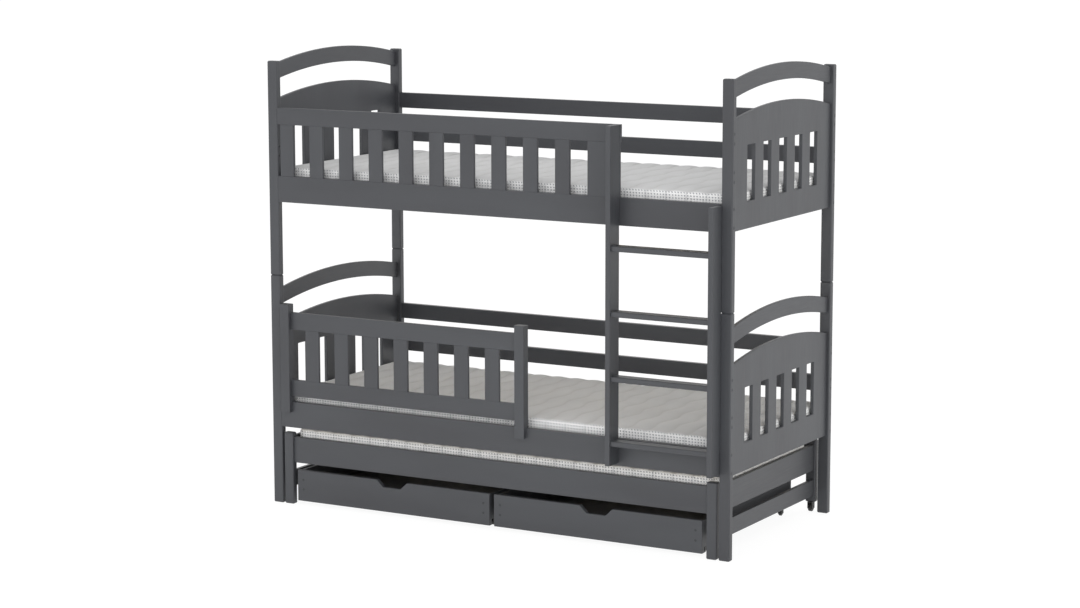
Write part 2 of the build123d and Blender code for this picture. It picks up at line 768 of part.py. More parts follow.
def make_trundle_frame():
    """Posts, rails, end boards, ledgers and slats of the trundle bed."""
    for y_name, y_sign in y_sides.items():
        foot_z = 0 if y_sign < 0 else trundle_back_post_z
        with BuildPart() as posts:
            with BuildSketch(Plane.XY.offset(foot_z)):
                with Locations(*[(x_sign * (trundle_half - trundle_post_width / 2),
                                  side_y(y_sign, post_depth / 2)) for x_sign in x_sides.values()]):
                    RectangleRounded(trundle_post_width, post_depth, post_rounding)
            extrude(amount=trundle_post_top - foot_z)
            chamfer(posts.faces().filter_by(Axis.Z).edges(), post_end_chamfer)
        save(posts.part, f"trundle_posts_{y_name}")

    with BuildPart() as rails:
        for y in (trundle_front_rail_y, trundle_back_rail_y):
            with Locations((0, y, trundle_rail_z + rail_height / 2)):
                Box(2 * trundle_inner_half, trundle_rail_thickness, rail_height)
        fillet(rails.edges().filter_by(Axis.X), board_rounding)
    save(rails.part, "trundle_side_rails")

    levels = ((trundle_low_board_z, trundle_low_board_height), (trundle_rail_z, rail_height))
    with BuildPart() as boards:
        for x_sign in x_sides.values():
            for z, height in levels:
                with Locations((x_sign * trundle_board_x, centre_y, z + height / 2)):
                    Box(trundle_board_thickness, between_posts_depth, height)
        fillet(boards.edges().filter_by(Axis.Y), board_rounding)
    save(boards.part, "trundle_end_boards")

    ledger_half = trundle_board_x - trundle_board_thickness / 2 - ledger_end_gap
    with BuildPart() as ledgers:
        for y_sign in y_sides.values():
            y = centre_y + y_sign * (trundle_inside_depth - ledger_width) / 2
            with Locations((0, y, trundle_rail_z + trundle_ledger_height / 2)):
                Box(2 * ledger_half, ledger_width, trundle_ledger_height)
    save(ledgers.part, "trundle_ledgers")

    places = slat_places(trundle_mattress_length, trundle_slat_count, trundle_slat_end_margin)
    with BuildPart() as slats:
        with Locations(*[(x, centre_y, trundle_rail_z + trundle_ledger_height + slat_thickness / 2)
                         for x in places]):
            Box(slat_width, trundle_inside_depth - 2 * slat_end_gap, slat_thickness)
        fillet(slats.edges().filter_by(Axis.Y), slat_rounding)
    save(slats.part, "trundle_slats")


def caster_forks(spots, radius, width, plate_top):
    """Plate, two cheeks and an axle over each wheel: spots are (x, y)."""
    fork_length = caster_fork_share * radius
    cheek_x = width / 2 + cheek_side_gap + cheek_thickness / 2
    plate_width = 2 * cheek_x + cheek_thickness
    cheek_bottom = radius - axle_radius - cheek_thickness
    plate_z = plate_top - caster_plate_thickness
    with BuildPart() as forks:
        for x, y in spots:
            with Locations((x, y, plate_top - caster_plate_thickness / 2)):
                Box(plate_width, fork_length, caster_plate_thickness)
            with Locations(*[(x + sign * cheek_x, y, (cheek_bottom + plate_z) / 2)
                             for sign in x_sides.values()]):
                Box(cheek_thickness, fork_length, plate_z - cheek_bottom)
            with Locations((x, y, radius)):
                Cylinder(axle_radius, plate_width, rotation=(0, 90, 0))
    return forks.part


def wheel_pair(spots, radius, width):
    """Wheels with rounded treads on an axle along X: spots are (x, y)."""
    with BuildPart() as wheels:
        for x, y in spots:
            with Locations((x, y, radius)):
                Cylinder(radius, width, rotation=(0, 90, 0))
        fillet(wheels.edges(), wheel_rounding_share * width)
        for x, y in spots:
            with Locations((x, y, radius)):
                Cylinder(axle_radius + axle_clearance, width, rotation=(0, 90, 0),
                         mode=Mode.SUBTRACT)
    return wheels.part


def make_trundle_casters():
    """A caster under each back post of the trundle."""
    y = side_y(1, trundle_caster_back_gap + trundle_caster_radius)
    spots = {name: (sign * (trundle_half - trundle_post_width / 2), y)
             for name, sign in x_sides.items()}
    forks = caster_forks(spots.values(), trundle_caster_radius, trundle_caster_width,
                         trundle_back_post_z)
    save(forks, "trundle_caster_forks")
    for name, spot in spots.items():
        save(wheel_pair([spot], trundle_caster_radius, trundle_caster_width),
             f"trundle_wheel_{name}")


def drawer_front(centre_x):
    """Drawer front with a finger notch in its top edge and two screw caps at each end."""
    top_z = drawer_front_z + drawer_front_height
    half_top = notch_top_width / 2
    half_bottom = notch_bottom_width / 2
    with BuildPart() as front:
        with BuildSketch(Plane.XZ.offset(-drawer_front_y)) as outline:
            with BuildLine():
                Polyline((centre_x - drawer_front_width / 2, top_z),
                         (centre_x - drawer_front_width / 2, drawer_front_z),
                         (centre_x + drawer_front_width / 2, drawer_front_z),
                         (centre_x + drawer_front_width / 2, top_z),
                         (centre_x + half_top, top_z),
                         (centre_x + half_bottom, top_z - notch_depth),
                         (centre_x - half_bottom, top_z - notch_depth),
                         (centre_x - half_top, top_z), close=True)
            make_face()
            notch_corners = outline.vertices().filter_by(
                lambda corner: abs(corner.X - centre_x) < notch_top_width)
            fillet(notch_corners, notch_corner_radius)
        extrude(amount=-drawer_front_thickness)
        fillet(front.faces().sort_by(Axis.Y)[0].edges(), board_rounding)
        with Locations(*[(centre_x + side * (drawer_front_width / 2 - drawer_cap_inset),
                          drawer_front_y, drawer_front_z + share * drawer_front_height)
                         for side in x_sides.values() for share in drawer_cap_height_shares]):
            Cylinder(drawer_cap_radius, 2 * cap_recess, rotation=(90, 0, 0), mode=Mode.SUBTRACT)
    return front.part


def drawer_box(centre_x):
    """Two sides and a back, grooved for the floor panel, and that panel."""
    side_middle_z = drawer_side_z + drawer_side_height / 2
    back_length = 2 * drawer_side_x - drawer_side_thickness
    floor_width = back_length + 2 * drawer_groove_depth
    floor_middle_z = drawer_floor_z + drawer_floor_thickness / 2
    floor_length = drawer_box_length - drawer_side_thickness + drawer_groove_depth
    floor_y = drawer_box_y - drawer_box_length / 2 + floor_length / 2
    boards = []
    for offset in (-drawer_side_x, drawer_side_x, 0):
        with BuildPart() as board:
            if offset:
                with Locations((centre_x + offset, drawer_box_y, side_middle_z)):
                    Box(drawer_side_thickness, drawer_box_length, drawer_side_height)
            else:
                with Locations((centre_x, drawer_back_y - drawer_side_thickness / 2, side_middle_z)):
                    Box(back_length, drawer_side_thickness, drawer_side_height)
            with Locations((centre_x, floor_y, floor_middle_z)):
                Box(floor_width + 2 * fit_gap, floor_length + 2 * fit_gap,
                    drawer_floor_thickness + 2 * fit_gap, mode=Mode.SUBTRACT)
        boards.append(board.part)
    with BuildPart() as floor:
        with Locations((centre_x, floor_y, floor_middle_z)):
            Box(floor_width, floor_length, drawer_floor_thickness)
    return Compound(children=[*boards, floor.part])


def make_drawers():
    """The left and the right drawer with their casters."""
    for name, sign in x_sides.items():
        centre_x = sign * drawer_centre_x
        save(drawer_front(centre_x), f"drawer_{name}_front")
        save(drawer_box(centre_x), f"drawer_{name}_box")
        reach = drawer_side_x + drawer_side_thickness / 2 - drawer_caster_side_inset
        rows = {"front": front_y + drawer_front_caster_setback,
                "back": drawer_back_y - drawer_back_caster_setback}
        spots = {row: [(centre_x - reach, y), (centre_x + reach, y)] for row, y in rows.items()}
        save(caster_forks(spots["front"] + spots["back"], drawer_caster_radius,
                          drawer_caster_width, drawer_floor_z), f"drawer_{name}_caster_forks")
        for row in rows:
            save(wheel_pair(spots[row], drawer_caster_radius, drawer_caster_width),
                 f"drawer_{name}_wheels_{row}")


def main():
    """Build every piece."""
    os.makedirs("parts", exist_ok=True)
    make_posts()
    make_post_pins()
    make_bolts()
    make_side_rails()
    make_back_rails()
    make_end_panels()
    make_arch_rails()
    make_dowels()
    make_ladder()
    make_screws()
    make_upper_guard()
    make_lower_guard()
    make_bed_slats()
    make_mattresses()
    make_trundle_frame()
    make_trundle_casters()
    make_drawers()


main()
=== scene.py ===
# %% [markdown]
# # A bunk bed with a roll-out trundle bed
#
# The wooden parts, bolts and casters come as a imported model, which is loaded first and never
# moved. What a maker would add to it is made here: quilted mattresses, screw plugs, paint, bare
# wood, zinc, plastic, light and a camera. All is in metres, and stands where the model says.

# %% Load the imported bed
import math

import bmesh
import bpy
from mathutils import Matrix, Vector


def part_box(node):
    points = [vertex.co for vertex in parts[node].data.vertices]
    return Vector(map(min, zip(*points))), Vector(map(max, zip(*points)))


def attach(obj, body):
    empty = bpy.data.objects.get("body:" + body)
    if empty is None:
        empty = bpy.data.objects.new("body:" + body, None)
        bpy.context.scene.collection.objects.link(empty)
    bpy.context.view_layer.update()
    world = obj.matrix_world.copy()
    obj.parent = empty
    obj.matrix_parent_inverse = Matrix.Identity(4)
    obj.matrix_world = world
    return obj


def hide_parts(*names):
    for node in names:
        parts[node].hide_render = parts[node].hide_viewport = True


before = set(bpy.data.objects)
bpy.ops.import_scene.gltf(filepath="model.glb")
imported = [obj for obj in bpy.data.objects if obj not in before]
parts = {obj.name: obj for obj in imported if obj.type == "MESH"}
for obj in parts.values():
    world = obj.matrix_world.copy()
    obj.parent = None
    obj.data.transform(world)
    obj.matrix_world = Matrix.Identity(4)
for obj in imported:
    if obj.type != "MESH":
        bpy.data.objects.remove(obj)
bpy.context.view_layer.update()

# %% [markdown]
# ## The camera
#
# The picture was taken from in front and to the right with a long lens, so upright lines stay
# almost parallel. A camera can be aimed by hand in the viewport, or given a place, two angles and
# a lens. Numbers are used here, because they were fitted to the corners of the bed.

# %% Camera
scene = bpy.context.scene
camera_place = 5.0686, -8.9315, 2.4001
camera_azimuth = math.radians(29.205)
camera_pitch = math.radians(8.879)
film_width = 36
lens_length = 91.21
lens_shift = -0.0208


def aim(holder, place, sight):
    """Put a camera or a lamp at a place, looking along a direction."""
    holder.location = place
    holder.rotation_euler = Vector(sight).to_track_quat("-Z", "Y").to_euler()


camera = bpy.data.objects.new("camera", bpy.data.cameras.new("camera"))
camera.data.sensor_width = film_width
camera.data.lens = lens_length
camera.data.shift_x = lens_shift
aim(camera, camera_place,
    (-math.sin(camera_azimuth) * math.cos(camera_pitch),
     math.cos(camera_azimuth) * math.cos(camera_pitch), -math.sin(camera_pitch)))
scene.collection.objects.link(camera)
scene.camera = camera
print("lens", camera.data.lens, "mm")

# %% [markdown]
# ## Helpers for finishes
#
# A finish is a node tree. Wiring one by hand in the editor is fine for a single material, but here
# several share the same steps, so one function adds any node with its settings and links. Colours
# are written as they look on a screen, and turned into the linear values of the renderer.

# %% One function that adds a node, one that makes a colour
MM = 0.001


def colour(hex_text):
    """A screen colour as a linear one with full opacity."""
    channels = [int(hex_text[i:i + 2], 16) / 255 for i in (0, 2, 4)]
    return [c / 12.92 if c <= 0.04045 else ((c + 0.055) / 1.055) ** 2.4 for c in channels] + [1]


def wire(tree, node, links):
    """Give inputs a value, a socket to wire in, or a node whose first output in use is wired."""
    for name, value in links.items():
        if isinstance(value, bpy.types.Node):
            value = next(socket for socket in value.outputs if socket.enabled)
        if isinstance(value, bpy.types.NodeSocket):
            tree.links.new(value, node.inputs[name])
        else:
            node.inputs[name].default_value = value


def put(tree, kind, links=None, **settings):
    """Add one node with its settings and what goes into its inputs."""
    node = tree.nodes.new(kind)
    for name, value in settings.items():
        setattr(node, name, value)
    wire(tree, node, links or {})
    return node


print("a screen grey of 808080 is", round(colour("808080")[0], 3), "of white in light")

# %% Steps that several finishes share
noise_window = 0.3, 0.7


def new_finish(name, **surface):
    """A material with its shader, whose uniform settings are given here."""
    material = bpy.data.materials.new(name)
    material.use_nodes = True
    tree = material.node_tree
    shader = tree.nodes["Principled BSDF"]
    for socket, value in surface.items():
        shader.inputs[socket.replace("_", " ")].default_value = value
    return material, tree, shader


def along(axis, run, gap):
    """Repeats per metre that stretch a pattern along one axis."""
    return tuple(1 / run if name == axis else 1 / gap for name in "XYZ")


def every_way(pitch):
    """Repeats per metre of a pattern that is as long as it is wide."""
    return (1 / pitch,) * 3


def laid(tree, kind, repeats, **settings):
    """A texture laid on Object coordinates with its repeats per metre along each axis."""
    place = put(tree, "ShaderNodeTexCoord").outputs["Object"]
    place = put(tree, "ShaderNodeMapping", {"Vector": place, "Scale": repeats})
    return put(tree, kind, {"Vector": place, "Scale": 1.0, **settings})


def tinted(tree, pattern, window, first, second, strength=1.0):
    """Turn one colour into a second, up to a strength, as a pattern's value crosses a window."""
    share = put(tree, "ShaderNodeMapRange", {"Value": pattern, "From Min": window[0],
                                             "From Max": window[1], "To Max": strength})
    return put(tree, "ShaderNodeMix", {0: share, 6: first, 7: second}, data_type="RGBA")


def raised(tree, *layers):
    """Stack bumps, each a height from 0 to 1 and its size in metres, for a shader's normal."""
    below = {}
    for height, size in layers:
        bump = put(tree, "ShaderNodeBump", {"Height": height, "Distance": size, **below})
        below = {"Normal": bump}
    return bump


print("noise is mostly between", *noise_window)

# %% [markdown]
# ## Graphite satin paint on pine
#
# The boards are planed pine under two sprayed coats of a water-based satin paint. It covers the
# colour of the wood, while the hard growth lines still stand a few hundredths of a millimetre
# proud. A flat colour would look like plastic, and a wood picture would show colour that the paint
# hides. So the grain is only in the bump and, faintly, in the gloss, and it runs the way each
# board was sawn: one version of the paint for each direction.

# %% Paint, once for each direction of the grain
paint_tone = colour("434448")
paint_light_tone = colour("4A4C50")
paint_roughness = 0.50, 0.40
grain_run, grain_gap, grain_height = 90 * MM, 2.6 * MM, 0.05 * MM
cloud_run, cloud_gap = 700 * MM, 160 * MM
skin_pitch, skin_height = 1.6 * MM, 0.008 * MM


def graphite_paint(axis):
    """Satin paint whose growth lines run along one axis."""
    # A satin coat: soft highlights on the rounded edges, and a faint skin from the spray gun.
    material, tree, shader = new_finish(f"graphite_satin_paint_grain_{axis.lower()}")
    lines = laid(tree, "ShaderNodeTexNoise", along(axis, grain_run, grain_gap), Detail=3.0,
                 Roughness=0.55, Distortion=0.35)
    clouds = laid(tree, "ShaderNodeTexNoise", along(axis, cloud_run, cloud_gap), Detail=2.0)
    skin = laid(tree, "ShaderNodeTexNoise", every_way(skin_pitch), Detail=1.0)
    gloss = put(tree, "ShaderNodeMapRange", {
        "Value": lines, "From Min": noise_window[0], "From Max": noise_window[1],
        "To Min": paint_roughness[0], "To Max": paint_roughness[1]})
    wire(tree, shader, {
        "Base Color": tinted(tree, clouds, noise_window, paint_tone, paint_light_tone),
        "Roughness": gloss,
        "Normal": raised(tree, (lines, grain_height), (skin, skin_height))})
    return material


paints = {axis: graphite_paint(axis) for axis in "XYZ"}
print("paints", [m.name for m in paints.values()])

# %% [markdown]
# ## Bare pine
#
# The slats and the ledgers under the mattresses are left unpainted, because nobody sees them. Pine
# has pale wood with darker growth lines a few millimetres apart, and a knot here and there. Noise
# stretched along the slat and bent a little gives the lines, and a stretched cell texture the
# knots.

# %% Bare pine for slats and ledgers
pine_pale = colour("EBE2D0")
pine_dark = colour("D2BC98")
pine_knot = colour("7A5636")
line_run, line_gap, line_height = 260 * MM, 7 * MM, 0.12 * MM
fibre_run, fibre_gap, fibre_height = 30 * MM, 0.7 * MM, 0.04 * MM
fibre_strength = 0.18
knot_run, knot_gap = 330 * MM, 210 * MM
line_window = 0.35, 0.65
knot_window = 0.07, 0.03


def bare_pine(axis):
    """Unpainted planed pine whose grain runs along one axis."""
    # Matt, slightly fuzzy wood: growth lines in the colour, a knot every few hundred millimetres.
    material, tree, shader = new_finish(f"bare_planed_pine_grain_{axis.lower()}", Roughness=0.75)
    lines = laid(tree, "ShaderNodeTexNoise", along(axis, line_run, line_gap), Detail=4.0,
                 Roughness=0.6, Distortion=0.6)
    fibres = laid(tree, "ShaderNodeTexNoise", along(axis, fibre_run, fibre_gap), Detail=2.0)
    cells = laid(tree, "ShaderNodeTexVoronoi", along(axis, knot_run, knot_gap))
    wood = tinted(tree, lines, line_window, pine_pale, pine_dark)
    wood = tinted(tree, fibres, noise_window, wood, pine_dark, fibre_strength)
    wire(tree, shader, {
        "Base Color": tinted(tree, cells, knot_window, wood, pine_knot),
        "Normal": raised(tree, (lines, line_height), (fibres, fibre_height))})
    return material


pines = {axis: bare_pine(axis) for axis in "XY"}
print("pines", [m.name for m in pines.values()])

# %% [markdown]
# ## Zinc, black casters and grey caps
#
# Bolts, pins and screws are bright zinc-plated steel with a cloudy, slightly blue gloss. The
# casters, forks and wheels alike, are moulded from black plastic, which scuffs grey where it rubs.
# The caps over the bolt heads are pressed from grey plastic a shade darker than the paint.

# %% Zinc plate
zinc_tones = colour("BFC3C6"), colour("A9ADB3")
zinc_roughness = 0.25, 0.42
patch_pitch = 5 * MM
drawn_run, drawn_gap, drawn_height = 20 * MM, 0.5 * MM, 0.01 * MM


def zinc_plate():
    """Zinc-plated steel with a cloudy gloss."""
    # Thin plating varies in gloss by patches a few millimetres wide, and has fine drawing lines.
    material, tree, shader = new_finish("zinc_plated_steel", Metallic=1.0)
    patches = laid(tree, "ShaderNodeTexNoise", every_way(patch_pitch), Detail=2.0)
    lines = laid(tree, "ShaderNodeTexNoise", along("Z", drawn_run, drawn_gap), Detail=1.0)
    gloss = put(tree, "ShaderNodeMapRange", {
        "Value": patches, "From Min": noise_window[0], "From Max": noise_window[1],
        "To Min": zinc_roughness[0], "To Max": zinc_roughness[1]})
    wire(tree, shader, {"Base Color": tinted(tree, patches, noise_window, *zinc_tones),
                        "Roughness": gloss, "Normal": raised(tree, (lines, drawn_height))})
    return material


zinc = zinc_plate()
print("finish", zinc.name)

# %% Moulded plastics
scuff_pitch = 9 * MM
scuff_window = 0.52, 0.75
scuff_dullness = 0.2
mould_height = 0.03 * MM


def moulded_plastic(name, tone, worn_tone, roughness, texture_gap):
    """Moulded plastic with a fine eroded mould texture and a few scuffs."""
    # The mould leaves an even fine grain, and handling leaves paler, duller patches.
    material, tree, shader = new_finish(name)
    texture = laid(tree, "ShaderNodeTexNoise", every_way(texture_gap), Detail=1.0)
    scuffs = laid(tree, "ShaderNodeTexNoise", every_way(scuff_pitch), Detail=4.0, Distortion=0.8)
    gloss = put(tree, "ShaderNodeMapRange", {
        "Value": scuffs, "From Min": scuff_window[0], "From Max": scuff_window[1],
        "To Min": roughness, "To Max": roughness + scuff_dullness})
    wire(tree, shader, {
        "Base Color": tinted(tree, scuffs, scuff_window, colour(tone), colour(worn_tone)),
        "Roughness": gloss, "Normal": raised(tree, (texture, mould_height))})
    return material


caster_plastic = moulded_plastic("black_caster_plastic", "141414", "2E2D2B", 0.45, 0.6 * MM)
cap_plastic = moulded_plastic("grey_cap_plastic", "36383B", "3F4144", 0.5, 0.5 * MM)
print("finishes", caster_plastic.name, cap_plastic.name)

# %% [markdown]
# ## Dress the parts of the model
#
# A board is sawn along its length, so its name tells its grain: rails run along the bed, posts
# and guard slats stand upright, and the arched rails and slats run across. Picking a finish by
# hand for sixty parts would be slow and easy to get wrong, so the start of each name decides.

# %% Give every part its finish
finish_by_name = (
    (("side_rail", "back_rails", "guard_top_rail", "lower_guard_rails", "ladder_rungs",
      "trundle_side_rails", "drawer_left_front", "drawer_right_front"), paints["X"]),
    (("arch_rail", "trundle_end_boards", "drawer_left_box", "drawer_right_box"), paints["Y"]),
    (("post_lower", "post_upper", "end_panel", "guard_slats", "lower_guard_posts",
      "lower_guard_slats", "ladder_stile", "trundle_posts"), paints["Z"]),
    (("slat_ledgers", "trundle_ledgers", "wood_dowels"), pines["X"]),
    (("bed_slats", "trundle_slats"), pines["Y"]),
    (("post_pins", "bed_bolts", "ladder_and_guard_screws"), zinc),
    (("trundle_wheel", "trundle_caster_forks", "drawer_left_wheels", "drawer_right_wheels",
      "drawer_left_caster_forks", "drawer_right_caster_forks"), caster_plastic),
    (("bolt_caps",), cap_plastic),
)


def finish_for(name):
    """The finish whose name starts match this part."""
    found = [finish for starts, finish in finish_by_name if name.startswith(starts)]
    return found[0] if found else None


mattress_parts = [name for name in parts if name.startswith("mattress")]
for name, part in parts.items():
    if name not in mattress_parts:
        part.data.materials.clear()
        part.data.materials.append(finish_for(name))
print("dressed", len(parts) - len(mattress_parts), "parts, to be replaced:", mattress_parts)

# %% [markdown]
# ## The mattresses
#
# Each mattress is a foam core in a zipped cover. The top is a knit, quilted in channels that wave
# across the bed, and the sides are an airy spacer mesh with rows of small holes. A smoothed box
# would miss how the padding swells between the seams. The mattress is therefore laid out as a grid
# whose columns follow the quilting, so that the seams are real edges, and then blown up like the
# padding with Blender's Cloth while the seams stay pinned.

# %% Sizes of the quilting
channel_pitch = 80 * MM
wave_depth = 10 * MM
wave_length = 200 * MM
columns_per_channel = 6
row_pitch = 19 * MM
rows_per_end_channel = 4
edge_radius = 11 * MM
corner_radius = 38 * MM
side_draw = 4 * MM
crown = 4 * MM
edge_steps = 3
side_steps = 7
starting_puff = 4 * MM
side_puff = 3 * MM
end_calm = 8


def round_corner(x, y, half_length, half_width, radius):
    """Pull a point of a rectangle's grid in, so that the rectangle's corners come out round."""
    over_x = (abs(x) - (half_length - radius)) / radius
    over_y = (abs(y) - (half_width - radius)) / radius
    if over_x <= 0 or over_y <= 0:
        return x, y
    share = max(over_x, over_y) / math.hypot(over_x, over_y)
    return (math.copysign(half_length - radius + over_x * share * radius, x),
            math.copysign(half_width - radius + over_y * share * radius, y))


def quilt_shift(y, end_share):
    """How far a seam waves from its straight line, less and less towards the ends of the bed."""
    return wave_depth * math.sin(2 * math.pi * y / wave_length) * (1 - end_share ** end_calm)


print("quilting", round(channel_pitch / MM), "mm apart, waving", round(wave_depth / MM), "mm")

# %% Lay out one mattress as a grid whose columns follow the seams
class QuiltGrid:
    """The points of one mattress: a top grid, rows down the sides, and a bottom grid."""

    def __init__(self, low, high):
        self.middle = (low + high) / 2
        self.low_z, self.high_z = low.z, high.z
        self.half_length = (high.x - low.x) / 2 - edge_radius
        self.half_width = (high.y - low.y) / 2 - edge_radius
        self.channels = round(2 * self.half_length / channel_pitch)
        self.columns = self.channels * columns_per_channel
        self.rows = 2 * round(self.half_width / row_pitch)

    def top_point(self, column, row):
        """Place on the top, and how full the padding is: 0 at a seam, 1 between two."""
        u = 2 * column / self.columns - 1
        v = 2 * row / self.rows - 1
        y = v * self.half_width
        x = u * self.half_length + quilt_shift(y, abs(u))
        x, y = round_corner(x, y, self.half_length, self.half_width, corner_radius - edge_radius)
        y -= math.copysign(side_draw * (1 - u * u), y) * abs(v)
        x -= math.copysign(side_draw * (1 - v * v), x) * abs(u) ** 3
        z = self.high_z - starting_puff - crown * (1 - (1 - u * u) * (1 - v * v))
        fullness = math.sin(math.pi * (column % columns_per_channel) / columns_per_channel)
        return Vector((self.middle.x + x, self.middle.y + y, z)), fullness


upper_grid = QuiltGrid(*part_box("mattress_upper"))
print("upper mattress:", upper_grid.channels, "channels,", upper_grid.rows, "rows")

# %% Join the grids into one closed mesh
seam_fullness = 0.01
mesh_start = 0.4


def border_loop(grid):
    """Column and row of each point round the top's edge, in order."""
    loop = [(c, 0) for c in range(grid.columns)]
    loop += [(grid.columns, r) for r in range(grid.rows)]
    loop += [(c, grid.rows) for c in range(grid.columns, 0, -1)]
    loop += [(0, r) for r in range(grid.rows, 0, -1)]
    return loop


def side_profile(height):
    """Steps down the side: outward reach, drop, and how far round the soft edge they are."""
    steps = [math.pi / 2 * (i + 1) / edge_steps for i in range(edge_steps)]
    profile = [(edge_radius * math.sin(a), edge_radius * (1 - math.cos(a))) for a in steps]
    straight = height - 2 * edge_radius
    profile += [(edge_radius, edge_radius + straight * (i + 1) / side_steps)
                for i in range(side_steps)]
    profile += [(edge_radius * math.cos(a), height - edge_radius * (1 - math.sin(a)))
                for a in steps[:-1]]
    return profile


def outward(points, index):
    """The level direction out of a closed loop at one of its points."""
    step = points[(index + 1) % len(points)] - points[index - 1]
    return Vector((step.y, -step.x, 0)).normalized()


def mattress_mesh(name, grid):
    """The closed mesh of one mattress, with a group for what is sewn and values for its cloth."""
    form = bmesh.new()
    sewn, sides, seams = [], [], []
    top = {}
    for column in range(grid.columns + 1):
        for row in range(grid.rows + 1):
            place, fullness = grid.top_point(column, row)
            puff = 0 if column in (0, grid.columns) else starting_puff * fullness
            top[column, row] = form.verts.new(place + Vector((0, 0, puff)))
            sewn.append(1.0 if fullness < seam_fullness else 0.0)
            sides.append(0.0)
            seams.append(1 - fullness)
    loop = border_loop(grid)
    edge_points = [top[key].co.copy() for key in loop]
    rings = [[top[key] for key in loop]]
    profile = side_profile(edge_points[0].z - grid.low_z)
    for reach, drop in profile:
        ring = []
        down_share = drop / profile[-1][1]
        low_edge = drop > profile[-1][1] - edge_radius
        for index, key in enumerate(loop):
            on_end = key[0] in (0, grid.columns)
            phase = key[1] / rows_per_end_channel if on_end else key[0] / columns_per_channel
            fullness = abs(math.sin(math.pi * phase))
            puff = side_puff * fullness * math.sin(math.pi * down_share)
            point = edge_points[index] + outward(edge_points, index) * (reach + puff)
            point.z = edge_points[index].z - down_share * (edge_points[index].z - grid.low_z)
            ring.append(form.verts.new(point))
            sewn.append(1.0 if fullness < seam_fullness or low_edge else 0.0)
            sides.append(1.0 if drop > edge_radius * mesh_start else 0.5)
            seams.append(1 - fullness)
        rings.append(ring)
    bottom = dict(zip(loop, rings[-1]))
    for column in range(1, grid.columns):
        for row in range(1, grid.rows):
            place = top[column, row].co
            bottom[column, row] = form.verts.new((place.x, place.y, grid.low_z))
            sewn.append(1.0)
            sides.append(0.0)
            seams.append(0.0)
    for vert in rings[-1]:
        vert.co.z = grid.low_z
    for upper, lower in zip(rings, rings[1:]):
        for i in range(len(loop)):
            j = (i + 1) % len(loop)
            form.faces.new((upper[i], lower[i], lower[j], upper[j]))
    for column in range(grid.columns):
        for row in range(grid.rows):
            corners = [(column, row), (column + 1, row), (column + 1, row + 1), (column, row + 1)]
            form.faces.new([top[key] for key in corners])
            form.faces.new([bottom[key] for key in reversed(corners)])
    bmesh.ops.recalc_face_normals(form, faces=form.faces)
    mesh = bpy.data.meshes.new(name)
    form.to_mesh(mesh)
    form.free()
    mattress = bpy.data.objects.new(name, mesh)
    scene.collection.objects.link(mattress)
    group = mattress.vertex_groups.new(name="sewn")
    for index, weight in enumerate(sewn):
        group.add([index], weight, "REPLACE")
    for label, values in (("side_share", sides), ("seam_share", seams)):
        mesh.attributes.new(label, "FLOAT", "POINT").data.foreach_set("value", values)
    return mattress


upper_mattress = mattress_mesh("quilted_mattress_upper", upper_grid)
trundle_grid = QuiltGrid(*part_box("mattress_trundle"))
trundle_mattress = mattress_mesh("quilted_mattress_trundle", trundle_grid)
print("points", len(upper_mattress.data.vertices), len(trundle_mattress.data.vertices))

# %% [markdown]
# ### Fill the padding
#
# Pressure from inside pushes the cloth out between the pinned seams, and its stiffness pulls small
# folds towards them. A cap on how far any point moves keeps the mattress inside its own space.

# %% Swell the padding with Cloth, then smooth it once
padding_cap = 5 * MM
padding_frames = 20
padding_pressure = 25
cloth_mass = 0.15
cloth_tension = 6
cloth_bending = 0.1
cloth_quality = 4


def swell(mattress):
    """Blow the padding up between its seams and keep the result, capped, as the mesh."""
    rest = [v.co.copy() for v in mattress.data.vertices]
    cloth = mattress.modifiers.new("padding", "CLOTH")
    cloth.settings.vertex_group_mass = "sewn"
    cloth.settings.use_pressure = True
    cloth.settings.uniform_pressure_force = padding_pressure
    cloth.settings.mass = cloth_mass
    cloth.settings.effector_weights.gravity = 0
    cloth.settings.tension_stiffness = cloth_tension
    cloth.settings.bending_stiffness = cloth_bending
    cloth.settings.quality = cloth_quality
    cloth.collision_settings.use_collision = False
    cloth.collision_settings.use_self_collision = False
    cloth.point_cache.frame_start = 1
    cloth.point_cache.frame_end = padding_frames
    for number in range(1, padding_frames + 1):
        scene.frame_set(number)
    swollen = mattress.evaluated_get(bpy.context.evaluated_depsgraph_get())
    moved = [v.co.copy() for v in swollen.data.vertices]
    mattress.modifiers.remove(cloth)
    scene.frame_set(1)
    longest = 0
    for vert, start, end in zip(mattress.data.vertices, rest, moved):
        step = end - start
        longest = max(longest, step.length)
        if step.length > padding_cap:
            step *= padding_cap / step.length
        vert.co = start + step
    print(mattress.name, "swelled by", round(longest / MM, 2), "mm, cap", padding_cap / MM, "mm")


def smooth_once(mattress):
    """One subdivision, kept in the mesh, and smooth shading."""
    smoothing = mattress.modifiers.new("smoothing", "SUBSURF")
    smoothing.levels = 1
    smoothing.render_levels = 1
    smooth = bpy.data.meshes.new_from_object(
        mattress.evaluated_get(bpy.context.evaluated_depsgraph_get()))
    mattress.modifiers.remove(smoothing)
    mattress.data = smooth
    smooth.shade_smooth()


for mattress in (upper_mattress, trundle_mattress):
    swell(mattress)
    smooth_once(mattress)
    print(mattress.name, "faces", len(mattress.data.polygons))

# %% The lower bunk has the same mattress as the upper one
lower_mattress = bpy.data.objects.new("quilted_mattress_lower", upper_mattress.data.copy())
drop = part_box("mattress_lower")[0].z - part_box("mattress_upper")[0].z
for vert in lower_mattress.data.vertices:
    vert.co.z += drop
scene.collection.objects.link(lower_mattress)
print("lower mattress", round(-drop, 4), "m below the upper one")

